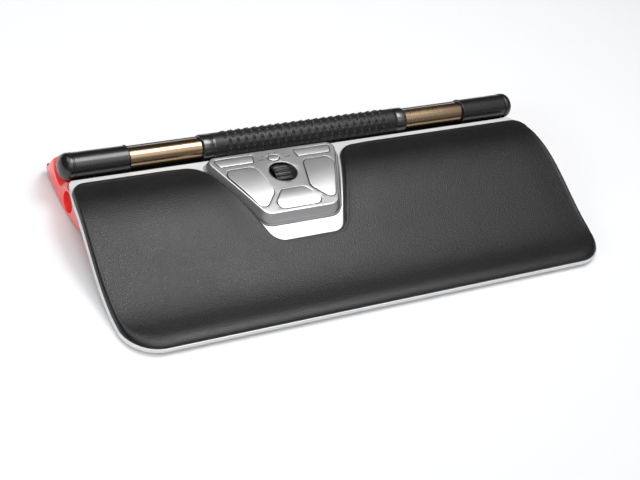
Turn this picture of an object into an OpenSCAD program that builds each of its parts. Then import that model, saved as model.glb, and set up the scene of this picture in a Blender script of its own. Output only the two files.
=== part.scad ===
// Roller-bar mouse: a sliding, turning grip on a sprung bar, a button module and a padded palm rest.
// Origin at the centre of the footprint on the desk. +X to the user's right, +Y away from the user, +Z up.
// Distances called d are measured backwards from the front edge of the palm plate.

/* [Palm rest] */
// Width of the palm plate at its widest
palm_w = 477; // [460:1:500]
// Thickness of the palm plate
plate_t = 4.2; // [3.8:0.1:5]
// Height of the plate's front edge above the desk
lip_z = 7.0; // [6.8:0.1:8]
// Height that the plate rises from the front to the back
rise = 34.4; // [33:0.1:36]
// Thickness of the padding
pad_t = 5.4; // [4:0.1:7]
// Radius of the front corners
corner_r = 31; // [20:1:40]

/* [Roller bar] */
// Outer radius of the grip and of the end housings
bar_r = 11.8; // [11.5:0.1:12.2]
// Radius of the metal core tube
core_r = 9.6; // [9.5:0.05:10.6]
// Length of the bar over its domed ends
bar_len = 464; // [450:1:470]
// Length of the straight part of an end housing
housing_len = 49.5; // [40:0.5:55]
// Length of the sliding grip with its collars
sleeve_len = 210; // [190:1:230]
// Where the grip rests along the bar
sleeve_x = 1.7; // [-10:0.1:10]
// Distance that the bar presses down
bar_travel = 0.8; // [0.5:0.1:1]

/* [Button module] */
// Sideways place of the module
module_x = -43; // [-45:0.5:-35]
// Height of the module's top face above the desk at its middle
module_z = 36.2; // [35:0.1:37]
// Backward rise of the module's top face in degrees
module_tilt = 2.9; // [0:0.1:4]
// Radius of the scroll wheel
wheel_r = 13; // [12:0.1:13.2]
// Width of the scroll wheel
wheel_w = 17; // [15:0.5:18]

/* [Base] */
// Distance between the outer faces of the two cheeks
base_w = 458; // [450:1:462]
// Thickness of the base tray's wall
wall = 2; // [1.6:0.1:2.4]
// Height of the base's underside above the desk
ground_gap = 0.9; // [0.8:0.1:1.2]

/* [Hidden] */
$fn = 64;
depth = 217;
front_y = -depth / 2;

// Palm plate profile
tilt = 0.075;
ramp_start = 22;
ramp_end = 146;
plate_d = 174.6;
side_peak = 66;
side_curve = 0.00074;
tuck_d = 140;
tuck = 0.0028;
back_corner_r = 6;
pad_back = 165.8;
pad_corner_r = 13.5;
pad_inset = 0.8;
cover_t = 1.2;

// Roller bar
bar_d = 188;
bar_z = 31.4;
dome_len = 7.8;
dome_x = bar_len / 2 - dome_len;
housing_x = dome_x - 3.6 - housing_len;
groove_w = 0.8;
liner_in = core_r + 0.05;
liner_out = core_r + 0.35;
tube_in = core_r + 0.4;
tube_out = core_r + 0.8;
collar_w = 12;
pin_x = 200;
pin_r = 2;
pin_bottom = 7.7;
bush_base = 3.6;
bush_top = 12;
trough_in = bar_r + 2.2;
trough_out = trough_in + 1.4;

// Base
cheek_t = 6;
low_d = 183;
corner_d = 215.3;
cheek_top = [200.7, 34.3];
dish_r = 17.5;
dimple_d = 165.5;
dimple_z = 13.2;
dimple_r = 9.4;
base_front = 108;
tray_x = base_w / 2 - cheek_t - 0.2;
board_z = 8.5;
board_t = 1.6;
socket_x = 60;
screw_x = [-200, -110, 60, 200];

// Button module, in its own tilted frame
module_d = 149.1;
shell = 2;
board_top = -8.2;
gap = 0.45;
flange = 1;
wheel_y = -7.6;
wheel_z = 2 - wheel_r;
well_a = 13.4;
well_b = 11.4;
wheel_switch_d = 157.3;
wheel_switch_z = 15.5;
back_bevel = 0.6;
speed_at = [-1.4, 9.2];

// ---- helpers ----

// Draws a d-z outline as a bar of length w from x0
module along_x(x0, w) translate([x0, front_y, 0]) rotate([90, 0, 90]) linear_extrude(height = w) children();

// Draws an x-d outline upright from z0 to z1
module upright(z0, z1) translate([0, front_y, z0]) linear_extrude(height = z1 - z0) children();

// Puts children into the module's tilted frame
module in_module() translate([module_x, front_y + module_d, module_z]) rotate([module_tilt, 0, 0]) children();

// A round bar along X, centred at distance d and height z
module x_rod(x0, w, d, z, r) translate([x0, front_y + d, z]) rotate([0, 90, 0]) cylinder(h = w, r = r);

function smooth(t) = let(c = max(0, min(1, t))) c * c * (3 - 2 * c);
function plate_top(d) = lip_z - tilt * d + rise * smooth((d - ramp_start) / (ramp_end - ramp_start));
function tray_low(d) = ground_gap + (d < low_d ? 0.0036 : 0.0055) * pow(d - low_d, 2);
function steps(a, b, n) = [for (i = [0:n]) a + (b - a) * i / n];
function unit(v) = v / norm(v);

// Points of the arc that rounds corner p between its neighbours a and b
function corner(p, a, b, r, n) =
    let(u = unit(a - p), v = unit(b - p), half = acos(u * v) / 2,
        s = p + u * r / tan(half), e = p + v * r / tan(half), c = p + unit(u + v) * r / sin(half),
        a0 = atan2(s.y - c.y, s.x - c.x), a1 = atan2(e.y - c.y, e.x - c.x),
        turn = (a1 - a0 + 540) % 360 - 180)
    [for (i = [0:n]) c + r * [cos(a0 + turn * i / n), sin(a0 + turn * i / n)]];
function rounded(p, r, n = 8) =
    [for (i = [0:len(p) - 1]) each corner(p[i], p[(i + len(p) - 1) % len(p)], p[(i + 1) % len(p)], r[i], n)];
function mirror_x(p) = [for (i = [len(p) - 1:-1:0]) [-p[i].x, p[i].y]];
function flip_if(side, p) = side < 0 ? mirror_x(p) : p;

// ---- palm rest outlines ----

function side_x(d, inset) =
    palm_w / 2 - inset - side_curve * pow(d - side_peak, 2) - tuck * pow(max(0, d - tuck_d), 2);
// Right half of the rest's outline, drawn in by inset, ending at distance back
function rest_half(inset, back, rb) =
    let(rf = corner_r - inset, xf = side_x(corner_r, inset), xb = side_x(back - rb, inset))
    concat([for (a = steps(-90, 0, 10)) [xf - rf + rf * cos(a), inset + rf + rf * sin(a)]],
        [for (d = steps(corner_r + 12, back - rb - 12, 7)) [side_x(d, inset), d]],
        [for (a = steps(0, 90, 6)) [xb - rb + rb * cos(a), back - rb + rb * sin(a)]]);
module rest_outline(inset, back, rb = back_corner_r)
    polygon(concat(rest_half(inset, back, rb), mirror_x(rest_half(inset, back, rb))));

// Sheet that follows the plate's profile between two heights above its top face
module sheet(low, high, d0 = -1, d1 = 176)
    let(d = steps(d0, d1, 30))
    along_x(-palm_w / 2 - 1, palm_w + 2)
    polygon(concat([for (i = d) [i, plate_top(i) + high]],
        [for (i = [len(d) - 1:-1:0]) [d[i], plate_top(d[i]) + low]]));

// Opening in the padding round the button module, widened by grow
window_front = 78.8;
window_slope = 0.43;
window_shift = 0.3;
window_wide = 60;
function window_x(d) = 51.2 + window_slope * (d - 121.2);
module pad_window(grow)
    let(f = window_front - grow, b = pad_back - 0.2 - grow,
        xf = window_x(f) + 1.08 * grow, xb = window_x(b) + 1.08 * grow)
    translate([module_x + window_shift, 0])
    polygon(rounded([[-xf, f], [xf, f], [xb, b], [xb + window_wide, b + 0.1], [xb + window_wide, 200],
        [-xb - window_wide, 200], [-xb - window_wide, b + 0.1], [-xb, b]],
        [15 + grow, 15 + grow, 20 - grow, 1, 1, 1, 1, 26 - grow]));

// ---- module outlines, in the module's frame ----

function shell_x(y) = 40 + 0.43 * (y + 38.5);
function shell_outline(grow) =
    let(yf = -50.6 - grow, yb = 19 + grow * back_bevel, g = grow * 1.088)
    rounded([[-shell_x(yf) - g, yf], [shell_x(yf) + g, yf], [shell_x(yb) + g, yb], [-shell_x(yb) - g, yb]],
        [10 + grow, 10 + grow, 6 + grow, 6 + grow]);
function ellipse(a, b, n = 48) = [for (i = [0:n - 1]) [a * cos(360 * i / n), b * sin(360 * i / n)]];

// Key outlines for the right-hand side; grow widens them for the opening or the flange
function main_key(grow) =
    rounded([[24.2 - grow, 2.2 + grow], [17.4 - grow, -27.6], [34.6, -46.6 - 1.3 * grow],
        [55.6 + 1.3 * grow, 2.2 + grow]], [6.5, 8, 6, 6.5]);
function centre_key(grow) =
    rounded([[-11 - 0.5 * grow, -27.4 + grow], [-28 - 1.6 * grow, -47.2 - grow],
        [28 + 1.6 * grow, -47.2 - grow], [11 + 0.5 * grow, -27.4 + grow]], [4.5, 6, 6, 4.5]);
function edge_key(grow) =
    rounded([[20.2 - grow, 15.3 + grow], [22.6 - grow, 7.2 - grow], [54.2 + grow, 7.2 - grow],
        [57.2 + 1.4 * grow, 15.3 + grow]], [1.2, 1.2, 1.2, 1.2]);
function speed_key(grow) = [for (p = ellipse(5.4 + grow, 3.1 + grow, 24)) p + speed_at];
function stem_of(key) =
    key == "main" ? [36, -18] : key == "centre" ? [0, -37] : key == "edge" ? [39, 11.2] : speed_at;
function outline_of(key, grow) =
    key == "main" ? main_key(grow) : key == "centre" ? centre_key(grow) :
    key == "edge" ? edge_key(grow) : speed_key(grow);
keys = [["main", -1], ["main", 1], ["centre", 1], ["edge", -1], ["edge", 1], ["speed", 1]];
posts = [[-17.8, -4], [17.8, -4], [-16.2, 13.6], [16.2, 13.6]];
dots = [[-11.2, 12.5], [-3.8, 14.7], [1.8, 14.7], [9.2, 12.5]];
dashes = [[-14.2, 8.7], [11.8, 8.7]];
dash_l = 5.6;

// ---- base ----

function low_curve(lift) = [for (d = steps(base_front, corner_d - lift * 0.6, 22)) [d, tray_low(d) + lift]];
// Closed side outline of the base below the plate, with the bar's cradle cut out
module base_side()
    difference() {
        polygon(concat(low_curve(0), [cheek_top, [bar_d, cheek_top.y], [plate_d + 3, plate_top(plate_d) - 1]],
            [for (d = steps(plate_d, base_front, 14)) [d, plate_top(d) - plate_t - 0.2]]));
        translate([bar_d, bar_z]) circle(r = bar_r + 0.5);
        translate([bar_d, bar_z - bar_travel]) circle(r = bar_r + 0.5);
        translate([150, plate_top(plate_d) - plate_t - 0.2]) square([plate_d + 1.5 - 150, 20]);
    }
module cheek(side)
    difference() {
        union() {
            along_x(side * (base_w / 2 - cheek_t / 2) - cheek_t / 2, cheek_t) base_side();
            for (d = [150, 201])
                x_rod(side * (base_w / 2 - cheek_t - 2) - 3, 6, d, 12, 2);
        }
        x_rod(side * base_w / 2 - 4.5, 9, dimple_d, dimple_z, dimple_r);
        translate([side * (base_w / 2 + 0.01), front_y + bar_d, bar_z]) rotate([0, -90 * side, 0])
            cylinder(h = 4.5, r1 = dish_r, r2 = bar_r + 0.6);
    }
module left_cheek() color("crimson") cheek(-1);
module right_cheek() color("crimson") cheek(1);

module pan()
    intersection() {
        along_x(-tray_x, 2 * tray_x)
        polygon(concat(low_curve(0), [for (i = [22:-1:0]) low_curve(wall)[i]]));
        sheet(-60, -plate_t - 0.2, 100, 216);
    }
module tray_wall(side)
    along_x(side * (tray_x - wall / 2) - wall / 2, wall)
    difference() {
        base_side();
        translate([bar_d, bar_z]) circle(r = trough_out + 0.2);
        translate([bar_d, bar_z - 1]) square([60, 60]);
        translate([bar_d + 20, 10]) rotate(-28) square([20, 40]);
    }
module base_tray() color("red")
    difference() {
        union() {
            pan();
            difference() {
                union() {
                    tray_wall(-1);
                    tray_wall(1);
                    for (x = screw_x) translate([x, front_y + 150, 0]) cylinder(h = 25.3, r = 5);
                    for (x = [-140, 140], d = [172, 198])
                        translate([x, front_y + d, 0]) cylinder(h = board_z, r = 3);
                    translate([module_x - 4, front_y + wheel_switch_d - 4, 0]) cube([8, 8, wheel_switch_z]);
                }
                translate([0, 0, -60]) along_x(-300, 600) polygon(concat([[base_front - 9, 0]],
                    [for (p = low_curve(0)) p + [0, 60 + 0.5]], [[230, 0]]));
            }
        }
        for (x = screw_x) translate([x, front_y + 150, 0]) {
            cylinder(h = 30, r = 1.7);
            translate([0, 0, -1]) cylinder(h = 13, r = 3.3);
        }
        for (x = [-180, -60, 100, 180]) translate([x, front_y + 206, 0]) {
            cylinder(h = 12, r = 1.2);
            translate([0, 0, -1]) cylinder(h = 6, r = 2.8);
        }
        for (s = [-1, 1], d = [150, 201]) x_rod(s * tray_x - 3, 6, d, 12, 2.05);
    }

cover_top = 33;
cover_lean = (corner_d - cheek_top.x) / (cheek_top.y - tray_low(corner_d));
function cover_d(z) = corner_d - (z - tray_low(corner_d)) * cover_lean;
module rear_cover() color("black")
    difference() {
        union() {
            along_x(-tray_x, 2 * tray_x)
            polygon([[cover_d(8.6), 8.6], [cover_d(cover_top), cover_top],
                [cover_d(cover_top) - 2, cover_top], [cover_d(8.6) - 2, 8.6]]);
            for (x = [-180, -60, 100, 180])
                translate([x - 7, front_y + 201, 7.4]) cube([14, 12.6, 2]);
        }
        along_x(-300, 600)
            polygon(concat([[base_front, -5]], low_curve(wall + 0.05), [[230, 8.4], [230, -5]]));
        along_x(-300, 600) polygon([[cover_d(0), 0], [cover_d(40), 40], [240, 40], [240, 0]]);
        x_rod(-300, 600, bar_d, bar_z, bar_r + 0.9);
        translate([socket_x - 7.4, front_y + 200, 9.6]) cube([14.8, 20, 7]);
        for (x = [-180, -60, 100, 180]) translate([x, front_y + 206, 0]) cylinder(h = 9.2, r = 1.2);
        for (s = [-1, 1]) translate([s * (tray_x - 1.2) - 1.3, front_y, 0]) cube([2.6, 217, 60]);
    }
module base_screws() color("silver")
    for (x = [-180, -60, 100, 180]) translate([x, front_y + 206, 3.8]) {
        cylinder(h = 5.2, r = 1.2);
        cylinder(h = 1.2, r = 2.6);
    }
module bar_trough() color("dimgray")
    difference() {
        along_x(-tray_x + wall + 0.2, 2 * (tray_x - wall - 0.2))
        translate([bar_d, bar_z]) difference() {
            circle(r = trough_out);
            circle(r = trough_in);
            translate([-30, -8]) square([40, 40]);
            translate([-5, -6]) square([40, 40]);
        }
        for (x = [-pin_x, pin_x]) translate([x, front_y + bar_d, 0]) cylinder(h = 25, r = 4.4);
        translate([-8, front_y + bar_d - 5, 10]) cube([16, 10, 12]);
    }
module main_board() color("seagreen")
    difference() {
        translate([-150, front_y + 168, board_z]) cube([300, 32, board_t]);
        translate([module_x - 15, front_y + 167, 0]) cube([30, 3, 20]);
    }
module usb_socket() color("silver")
    difference() {
        translate([socket_x - 6.7, front_y + 194, board_z + board_t]) cube([13.4, 16, 5.8]);
        translate([socket_x - 6.1, front_y + 196, board_z + board_t + 0.6]) cube([12.2, 16, 4.6]);
    }
module bar_sensor() color("black")
    translate([-6, front_y + bar_d - 4, board_z + board_t]) cube([12, 8, 5.5]);
module bar_bushes() color("dimgray")
    for (s = [-1, 1])
        difference() {
            translate([s * pin_x - 8, front_y + bar_d - 5, bush_base]) cube([16, 10, bush_top - bush_base]);
            translate([s * pin_x - 4.5, front_y + bar_d - 6, 0]) cube([9, 12, 7.1]);
            translate([s * pin_x, front_y + bar_d, 0]) cylinder(h = 30, r = pin_r + 0.05);
        }
module bar_switches() color("black")
    for (s = [-1, 1]) translate([s * pin_x, front_y + bar_d, bush_base]) {
        translate([-3, -3, 0]) cube([6, 6, 2.7]);
        cylinder(h = 3.1, r = 1.2);
    }
// Ring i of a coil: round wire section at its turn
spring_turns = 4;
ring_per_turn = 12;
wire_r = 0.4;
function coil_ring(i) =
    let(a = 360 * i / ring_per_turn, z = 6.2 * i / (spring_turns * ring_per_turn))
    [for (k = [0:5]) let(r = 3.1 + wire_r * cos(60 * k)) [r * cos(a), r * sin(a), z + wire_r * sin(60 * k)]];
module press_springs() color("silver")
    let(n = spring_turns * ring_per_turn)
    for (s = [-1, 1]) translate([s * pin_x, front_y + bar_d, bush_top + wire_r + 0.05])
        polyhedron(points = [for (i = [0:n]) each coil_ring(i)],
            faces = concat([[0, 1, 2, 3, 4, 5]], [for (i = [0:n - 1], k = [0:5])
                [6 * i + k, 6 * i + 6 + k, 6 * i + 6 + (k + 1) % 6, 6 * i + (k + 1) % 6]],
                [[6 * n + 5, 6 * n + 4, 6 * n + 3, 6 * n + 2, 6 * n + 1, 6 * n]]), convexity = 8);
module base_feet() color("black")
    difference() {
        for (x = [-195, -65, 65, 195]) translate([x, front_y + 184, 0]) cylinder(h = 3, r = 8);
        along_x(-300, 600) polygon(concat(low_curve(0), [[corner_d, 60], [base_front, 60]]));
    }
module rear_bumpers() color("black")
    difference() {
        for (s = [-1, 1]) x_rod(s * (base_w / 2 - 9) - 8, 16, depth - 3.4, 8.4, 3.4);
        along_x(-300, 600) polygon(concat(low_curve(0), [cheek_top, [150, 50]]));
    }

// ---- roller bar ----

module bar_ring(x0, w, r_out, r_in)
    translate([x0, front_y + bar_d, bar_z]) rotate([0, 90, 0]) difference() {
        cylinder(h = w, r = r_out);
        translate([0, 0, -1]) cylinder(h = w + 2, r = r_in);
    }
module core_tube() color("peru") bar_ring(-dome_x - 1, 2 * dome_x + 2, core_r, core_r - 1.4);
module end_housing(side)
    difference() {
        bar_ring(side > 0 ? housing_x : -housing_x - housing_len, housing_len, bar_r, core_r);
        translate([side * pin_x, front_y + bar_d, 10]) cylinder(h = 12, r = pin_r);
    }
module left_housing() color("black") end_housing(-1);
module right_housing() color("black") end_housing(1);
module dome(side)
    translate([side * dome_x, front_y + bar_d, bar_z]) rotate([0, 90 * side, 0])
    difference() {
        union() {
            rotate_extrude()
                polygon(concat([[0, -0.5], [bar_r, -0.5]],
                    [for (a = steps(0, 90, 14)) [bar_r * cos(a), dome_len * sin(a)]]));
            translate([0, 0, -3.6 + groove_w]) cylinder(h = 3.6 - groove_w, r = bar_r);
            translate([0, 0, -3.6]) cylinder(h = groove_w, r = bar_r - 0.5);
        }
        translate([0, 0, -5]) cylinder(h = 6, r = core_r);
    }
module left_dome() color("black") dome(-1);
module right_dome() color("black") dome(1);
module guide_pins() color("silver")
    difference() {
        for (s = [-1, 1]) translate([s * pin_x, front_y + bar_d, pin_bottom]) cylinder(h = 14, r = pin_r);
        x_rod(-300, 600, bar_d, bar_z, core_r);
    }
sleeve_l = sleeve_x - sleeve_len / 2;
sleeve_r = sleeve_x + sleeve_len / 2;
module grip_liners() color("ivory") {
    bar_ring(sleeve_l + 1.5, 9, liner_out, liner_in);
    bar_ring(sleeve_r - 10.5, 9, liner_out, liner_in);
}
module grip_tube() color("dimgray") bar_ring(sleeve_l + 1.2, sleeve_len - 2.4, tube_out, tube_in);
module grip_rubber() color("black") bar_ring(sleeve_l + collar_w, sleeve_len - 2 * collar_w, bar_r, tube_out);
module collar(x, side)
    translate([x, front_y + bar_d, bar_z]) rotate([0, 90 * side, 0]) rotate_extrude()
    polygon([[core_r + 0.4, 0], [bar_r - 0.6, 0], [bar_r, 0.6], [bar_r, collar_w - 1.6],
        [bar_r - 0.3, collar_w - 1.4], [bar_r - 0.3, collar_w - 0.9], [bar_r, collar_w - 0.7],
        [bar_r, collar_w], [tube_out, collar_w], [tube_out, 1.2], [core_r + 0.4, 1.2]]);
module left_collar() color("black") collar(sleeve_l, 1);
module right_collar() color("black") collar(sleeve_r, -1);

// ---- button module ----

module key_plate(key, side, grow, z0, z1)
    translate([0, 0, z0]) linear_extrude(height = z1 - z0) polygon(flip_if(side, outline_of(key, grow)));
module button(key, side)
    in_module() union() {
        key_plate(key, side, 0, -shell - 0.2, 0.3);
        key_plate(key, side, flange, -shell - 1, -shell - 0.1);
        translate([side * stem_of(key).x, stem_of(key).y, -4]) cylinder(h = 2, r = key == "speed" ? 1 : 2);
    }
module left_button() color("silver") button("main", -1);
module right_button() color("silver") button("main", 1);
module centre_button() color("silver") button("centre", 1);
module copy_button() color("silver") button("edge", -1);
module paste_button() color("silver") button("edge", 1);
module speed_button() color("silver") button("speed", 1);

bevel_w = 5;
bevel_h = 4.4;
skirt_z = -14.5;
// Opening in the plate that the module stands in
module plate_window(grow)
    in_module() translate([0, 0, -30]) linear_extrude(height = 60) polygon(shell_outline(bevel_w + grow));
module module_housing() color("gainsboro")
    intersection() {
        module_shell();
        sheet(-plate_t, 40, 90, 176);
    }
module module_shell()
    in_module() difference() {
        union() {
            hull() {
                translate([0, 0, -0.4]) linear_extrude(height = 0.4) polygon(shell_outline(-0.2));
                translate([0, 0, -bevel_h]) linear_extrude(height = 0.01) polygon(shell_outline(bevel_w));
            }
            translate([0, 0, skirt_z]) linear_extrude(height = -skirt_z - bevel_h)
                polygon(shell_outline(bevel_w));
        }
        difference() {
            translate([0, 0, skirt_z - 1]) linear_extrude(height = -skirt_z + 1 - shell)
                polygon(shell_outline(-0.3));
            for (p = posts) translate([p.x, p.y, board_top]) cylinder(h = 7, r = 2.4);
        }
        translate([0, 0, skirt_z - 1]) linear_extrude(height = 7.5) polygon(shell_outline(bevel_w - 1.8));
        for (p = posts) translate([p.x, p.y, board_top - 1]) cylinder(h = 6, r = 1.1);
        for (k = keys) key_plate(k[0], k[1], gap, -5, 2);
        translate([0, wheel_y, -5]) linear_extrude(height = 8) polygon(ellipse(well_a, well_b));
        for (p = dots) translate([p.x, p.y, -5]) cylinder(h = 8, r = 0.6);
        for (p = dashes) translate([p.x - dash_l / 2, p.y - 0.3, -5]) cube([dash_l, 0.6, 8]);
    }
module light_pipes() color("white")
    in_module() {
        for (p = dots) translate([p.x, p.y, -shell]) cylinder(h = shell, r = 0.6);
        for (p = dashes) translate([p.x - dash_l / 2, p.y - 0.3, -shell]) cube([dash_l, 0.6, shell]);
    }
module wheel_well() color("black")
    in_module() translate([0, wheel_y, 0]) difference() {
        union() {
            translate([0, 0, -1.6]) linear_extrude(height = 1.4)
                polygon(ellipse(well_a - 0.05, well_b - 0.05));
            difference() {
                translate([0, 0, -4.4]) linear_extrude(height = 4.2)
                    polygon(ellipse(well_a - 0.05, well_b - 0.05));
                translate([-wheel_w / 2 - 0.6, -20, -6]) cube([wheel_w + 1.2, 40, 12]);
            }
        }
        translate([0, 0, -3.4]) linear_extrude(height = 5) polygon(ellipse(well_a - 0.7, well_b - 0.55));
        translate([0, 0, wheel_z]) rotate([0, 90, 0])
            cylinder(h = wheel_w + 1.2, r = wheel_r + 0.6, center = true);
    }
module wheel_turn() in_module() translate([0, wheel_y, wheel_z]) rotate([0, 90, 0]) children();
module wheel_tyre() color("black")
    wheel_turn() rotate_extrude()
    polygon([[10.2, -wheel_w / 2], [wheel_r - 1.6, -wheel_w / 2], [wheel_r - 0.5, -wheel_w / 2 + 1.4],
        [wheel_r, -wheel_w / 2 + 4], [wheel_r, wheel_w / 2 - 4], [wheel_r - 0.5, wheel_w / 2 - 1.4],
        [wheel_r - 1.6, wheel_w / 2], [10.2, wheel_w / 2]]);
module wheel_hub() color("dimgray")
    wheel_turn() difference() {
        cylinder(h = wheel_w - 2, r = 10.2, center = true);
        cylinder(h = wheel_w, r = 1.5, center = true);
    }
module wheel_axle() color("silver") wheel_turn() cylinder(h = 23, r = 1.5, center = true);
module wheel_carriage() color("dimgray")
    in_module() translate([0, wheel_y, wheel_z]) difference() {
        union() {
            for (s = [-1, 1]) translate([s * 10.8 - 1.2, -4, -5]) cube([2.4, 8, 8]);
            for (s = [-1, 1]) translate([s * 10.8 - 1.2, -16, -6]) cube([2.4, 32, 3]);
            for (s = [-1, 1]) translate([-12, s * 15 - 1, -6]) cube([24, 2, 3]);
        }
        rotate([0, 90, 0]) cylinder(h = 40, r = 1.56, center = true);
    }
module wheel_switch() color("black")
    translate([module_x, front_y + wheel_switch_d, wheel_switch_z]) {
        translate([-3, -3, 0]) cube([6, 6, 2.9]);
        cylinder(h = 3.3, r = 1.2);
    }
module module_board() color("seagreen")
    in_module() difference() {
        translate([0, 0, board_top - board_t]) linear_extrude(height = board_t) polygon(shell_outline(-2));
        translate([-13.4, wheel_y - 14.2, -12]) cube([26.8, 28.2, 8]);
        for (p = posts) translate([p.x, p.y, -12]) cylinder(h = 6, r = 1.3);
    }
module tact_switches() color("black")
    in_module() for (k = keys)
        let(p = stem_of(k[0]), w = k[0] == "speed" ? 3.4 : 6)
        translate([p.x * k[1], p.y, board_top]) {
            translate([-w / 2, -w / 2, 0]) cube([w, w, 3]);
            cylinder(h = 3.6, r = w / 4);
        }
module module_screws() color("silver")
    in_module() for (p = posts) translate([p.x, p.y, board_top - board_t - 1.2]) {
        cylinder(h = 6, r = 1.1);
        cylinder(h = 1.2, r = 2.2);
    }

// ---- palm rest ----

module palm_plate() color("silver")
    difference() {
        intersection() {
            sheet(-plate_t, 0);
            upright(-5, 60) rest_outline(0, plate_d);
        }
        plate_window(gap);
        difference() {
            intersection() {
                sheet(-plate_t - 1, -1.8, 40, 166);
                upright(-5, 60) rest_outline(7, 166);
            }
            for (x = screw_x) translate([x, front_y + 150, 0]) cylinder(h = 60, r = 5);
            plate_window(4);
        }
        for (x = screw_x) translate([x, front_y + 150, 0]) cylinder(h = 28.1, r = 1.55);
    }
module pad_solid(grow, low, high)
    difference() {
        intersection() {
            sheet(low, high);
            upright(-5, 60) rest_outline(pad_inset + grow, pad_back - grow, pad_corner_r - grow);
        }
        upright(-5, 60) pad_window(grow);
    }
module palm_foam() color("dimgray") pad_solid(cover_t + 0.1, 0.1, pad_t - cover_t);
module palm_cover() color("black")
    difference() {
        pad_solid(0, 0.1, pad_t);
        pad_solid(cover_t, -1, pad_t - cover_t + 0.1);
    }
module palm_feet() color("black")
    difference() {
        for (x = [-180, -60, 60, 180]) translate([x - 25, front_y + 21, 0]) cube([50, 9, 3]);
        sheet(-plate_t, 20);
    }
module palm_screws() color("silver")
    for (x = screw_x) translate([x, front_y + 150, 10]) {
        cylinder(h = 18, r = 1.5);
        cylinder(h = 2, r = 2.9);
    }

base_tray();
left_cheek();
right_cheek();
rear_cover();
bar_trough();
usb_socket();
main_board();
bar_bushes();
bar_switches();
press_springs();
bar_sensor();
base_feet();
base_screws();
rear_bumpers();
core_tube();
left_housing();
right_housing();
left_dome();
right_dome();
guide_pins();
grip_liners();
grip_tube();
grip_rubber();
left_collar();
right_collar();
module_housing();
left_button();
right_button();
centre_button();
copy_button();
paste_button();
speed_button();
wheel_well();
wheel_tyre();
wheel_hub();
wheel_axle();
wheel_carriage();
wheel_switch();
light_pipes();
module_board();
tact_switches();
module_screws();
palm_plate();
palm_foam();
palm_cover();
palm_feet();
palm_screws();
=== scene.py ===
import math

import bmesh
import bpy
import numpy as np
from mathutils import Matrix, Vector


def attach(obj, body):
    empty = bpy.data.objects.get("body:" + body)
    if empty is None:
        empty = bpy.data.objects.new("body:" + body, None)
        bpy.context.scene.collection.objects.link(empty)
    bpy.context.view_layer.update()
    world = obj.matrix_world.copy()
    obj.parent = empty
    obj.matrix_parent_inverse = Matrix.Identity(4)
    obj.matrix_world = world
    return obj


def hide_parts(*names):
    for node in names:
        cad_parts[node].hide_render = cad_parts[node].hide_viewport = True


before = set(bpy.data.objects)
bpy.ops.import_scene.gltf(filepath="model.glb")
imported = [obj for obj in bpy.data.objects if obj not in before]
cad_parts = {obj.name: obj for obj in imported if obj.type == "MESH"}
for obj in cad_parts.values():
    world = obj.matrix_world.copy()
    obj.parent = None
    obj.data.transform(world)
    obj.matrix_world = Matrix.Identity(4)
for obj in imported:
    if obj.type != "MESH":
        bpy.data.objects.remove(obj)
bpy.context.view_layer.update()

MM = 0.001

# ---- sizes of the part, in millimetres ----
FRONT_Y = -108.5
LIP_Z, TILT, RISE, RAMP_START, RAMP_END = 7.0, 0.075, 34.4, 22.0, 146.0
PALM_W, CORNER_R, BACK_R, PLATE_T, PLATE_D = 477.0, 31.0, 6.0, 4.2, 174.6
SIDE_PEAK, SIDE_CURVE, TUCK_D, TUCK = 66.0, 0.00074, 140.0, 0.0028
PAD_T, PAD_BACK, PAD_BACK_R, PAD_INSET = 5.4, 165.8, 13.5, 0.8
WINDOW_FRONT, WINDOW_SLOPE, WINDOW_SHIFT = 78.8, 0.43, 0.3
WINDOW_HALF, WINDOW_HALF_AT = 51.2, 121.2
BAR_D, BAR_Z, BAR_R, CORE_R = 188.0, 31.4, 11.8, 9.6
BAR_LEN, DOME_LEN, DOME_PLUG, HOUSING_LEN = 464.0, 7.8, 3.6, 49.5
DOME_X = BAR_LEN / 2 - DOME_LEN
HOUSING_X = DOME_X - DOME_PLUG - HOUSING_LEN
BORE_GAP, TUBE_STEP = 0.02, 0.8
SLEEVE_X, SLEEVE_LEN, COLLAR_W = 1.7, 210.0, 12.0
MODULE_X, MODULE_D, MODULE_Z, MODULE_TILT = -43.0, 149.1, 36.2, 2.9
BEVEL_W, BACK_BEVEL, SIDE_BEVEL = 5.0, 0.6, 1.088
SHELL_FRONT, SHELL_BACK = -50.6, 19.0
SHELL_HALF, SHELL_HALF_AT, SHELL_SLOPE = 40.0, -38.5, 0.43
WHEEL_Y, WHEEL_R, WHEEL_W, WHEEL_TOP, WHEEL_BORE = -7.6, 13.0, 17.0, 2.0, 10.2
WELL_A, WELL_B = 13.4, 11.4
KEY_GAP = 0.6


def smooth(t):
    t = np.clip(t, 0.0, 1.0)
    return t * t * (3 - 2 * t)


def plate_top(d):
    return LIP_Z - TILT * d + RISE * smooth((d - RAMP_START) / (RAMP_END - RAMP_START))


# ---- outlines ----


def rounded(points, radii, n=12):
    """Closed outline with each corner replaced by an arc of its own radius."""
    out = []
    count = len(points)
    for i in range(count):
        p, a, b = (np.array(points[k % count], float) for k in (i, i - 1 + count, i + 1))
        r = radii[i]
        if r <= 0:
            out.append(tuple(p))
            continue
        u, v = (a - p) / np.linalg.norm(a - p), (b - p) / np.linalg.norm(b - p)
        half = math.acos(float(np.clip(u @ v, -1, 1))) / 2
        s, e = p + u * r / math.tan(half), p + v * r / math.tan(half)
        c = p + (u + v) / np.linalg.norm(u + v) * r / math.sin(half)
        a0, a1 = math.atan2(*(s - c)[::-1]), math.atan2(*(e - c)[::-1])
        turn = (a1 - a0 + 3 * math.pi) % (2 * math.pi) - math.pi
        for k in range(n + 1):
            angle = a0 + turn * k / n
            out.append(tuple(c + r * np.array([math.cos(angle), math.sin(angle)])))
    return out


def ellipse(a, b, n, at=(0, 0)):
    angles = [2 * math.pi * i / n for i in range(n)]
    return [(at[0] + a * math.cos(t), at[1] + b * math.sin(t)) for t in angles]


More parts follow.
